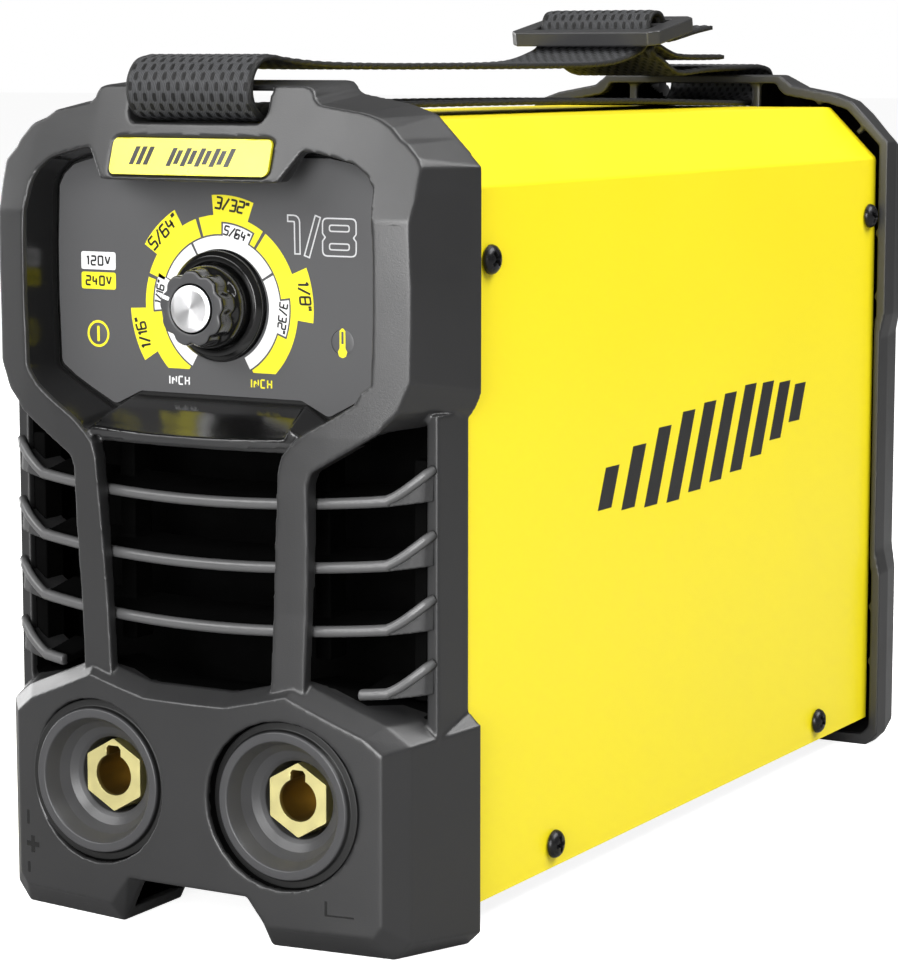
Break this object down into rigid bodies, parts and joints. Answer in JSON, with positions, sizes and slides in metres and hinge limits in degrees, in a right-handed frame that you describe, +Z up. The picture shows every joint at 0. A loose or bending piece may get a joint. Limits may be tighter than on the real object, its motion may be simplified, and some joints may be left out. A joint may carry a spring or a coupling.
{
  "type": "stick welder",
  "caption": "Compact inverter stick welder: folded sheet case between moulded end frames, dial in a recessed panel, louvred front, two output sockets, fan at the back and a webbing carry strap.",
  "frame": {"origin": "middle of the footprint, on the surface that the machine stands on", "axes": "+Z up, front panel facing -Y, +X to the right as seen from the front"},
  "size_m": [0.123, 0.29, 0.2112],
  "materials": {
    "case_plastic": "fine moulded texture, charcoal",
    "louvre_plastic": "satin charcoal",
    "panel_plastic": "satin",
    "label_film": "printed satin film",
    "badge_yellow": "glossy yellow",
    "lamp_lens": "translucent yellow",
    "gloss_black": "polished black",
    "knob_plastic": "satin black",
    "spun_aluminium": "spun, bright",
    "pointer_white": "white",
    "zinc_steel": "zinc plated",
    "brass_contact": "bright turned",
    "circuit_board": "green solder mask",
    "socket_plastic": "satin black",
    "copper": "bare copper",
    "cover_paint": "powder coated, satin yellow",
    "black_nylon": "black nylon",
    "fan_plastic": "black",
    "rocker_red": "glossy red",
    "plate_aluminium": "brushed, blank",
    "webbing": "woven nylon, black",
    "heatsink_aluminium": "extruded",
    "chip_black": "epoxy",
    "barrier_black": "pressed board",
    "capacitor_sleeve": "shrink sleeve",
    "ferrite": "ferrite",
    "black_screw": "black oxide"
  },
  "bodies": {
    "case": {"badge_plate": "badge_yellow", "base_pan": "zinc_steel", "bulk_capacitor_1": "capacitor_sleeve", "bulk_capacitor_2": "capacitor_sleeve", "control_board": "circuit_board", "control_label": "label_film", "control_panel": "panel_plastic", "cord_gland": "black_nylon", "cover": "cover_paint", "cover_screw_left_1": "black_screw", "cover_screw_left_2": "black_screw", "cover_screw_left_3": "black_screw", "cover_screw_left_4": "black_screw", "cover_screw_right_1": "black_screw", "cover_screw_right_2": "black_screw", "cover_screw_right_3": "black_screw", "cover_screw_right_4": "black_screw", "dial_collar": "gloss_black", "fan_frame": "fan_plastic", "fan_guard": "black_nylon", "fan_screw_1": "black_screw", "fan_screw_2": "black_screw", "fan_screw_3": "black_screw", "fan_screw_4": "black_screw", "front_bezel": "case_plastic", "gland_nut": "black_nylon", "heatsink_left": "heatsink_aluminium", "heatsink_right": "heatsink_aluminium", "insulation_barrier": "barrier_black", "louvre_grille": "louvre_plastic", "main_board": "circuit_board", "output_choke": "copper", "output_rectifiers": "chip_black", "potentiometer_body": "zinc_steel", "potentiometer_bush": "brass_contact", "potentiometer_nut": "zinc_steel", "power_lamp_lens": "lamp_lens", "power_transistors": "chip_black", "rating_plate": "plate_aluminium", "rear_bezel": "case_plastic", "socket_busbar_left": "copper", "socket_busbar_right": "copper", "socket_contact_left": "brass_contact", "socket_contact_right": "brass_contact", "socket_nut_left": "zinc_steel", "socket_nut_right": "zinc_steel", "socket_shell_left": "socket_plastic", "socket_shell_right": "socket_plastic", "strap_buckle": "black_nylon", "strap_webbing": "webbing", "switch_housing": "gloss_black", "thermal_lamp_lens": "lamp_lens", "transformer_core": "ferrite", "transformer_winding": "copper"},
    "dial": {"knob": "knob_plastic", "knob_cap": "spun_aluminium", "knob_pointer": "pointer_white", "potentiometer_shaft": "zinc_steel"},
    "fan": {"fan_rotor": "fan_plastic"},
    "rocker": {"switch_rocker": "rocker_red"}
  },
  "joints": [
    {"name": "dial_turn", "type": "hinge", "parent": "case", "child": "dial", "pos_m": [0, -0.135, 0.1428], "axis": [0, 1, 0], "range_deg": [-64, 206]},
    {"name": "fan_spin", "type": "hinge", "parent": "case", "child": "fan", "pos_m": [0, 0.1266, 0.104], "axis": [0, 1, 0], "continuous": true},
    {"name": "rocker_tilt", "type": "hinge", "parent": "case", "child": "rocker", "pos_m": [-0.027, 0.1395, 0.037], "axis": [1, 0, 0], "range_deg": [0, 18]}
  ]
}
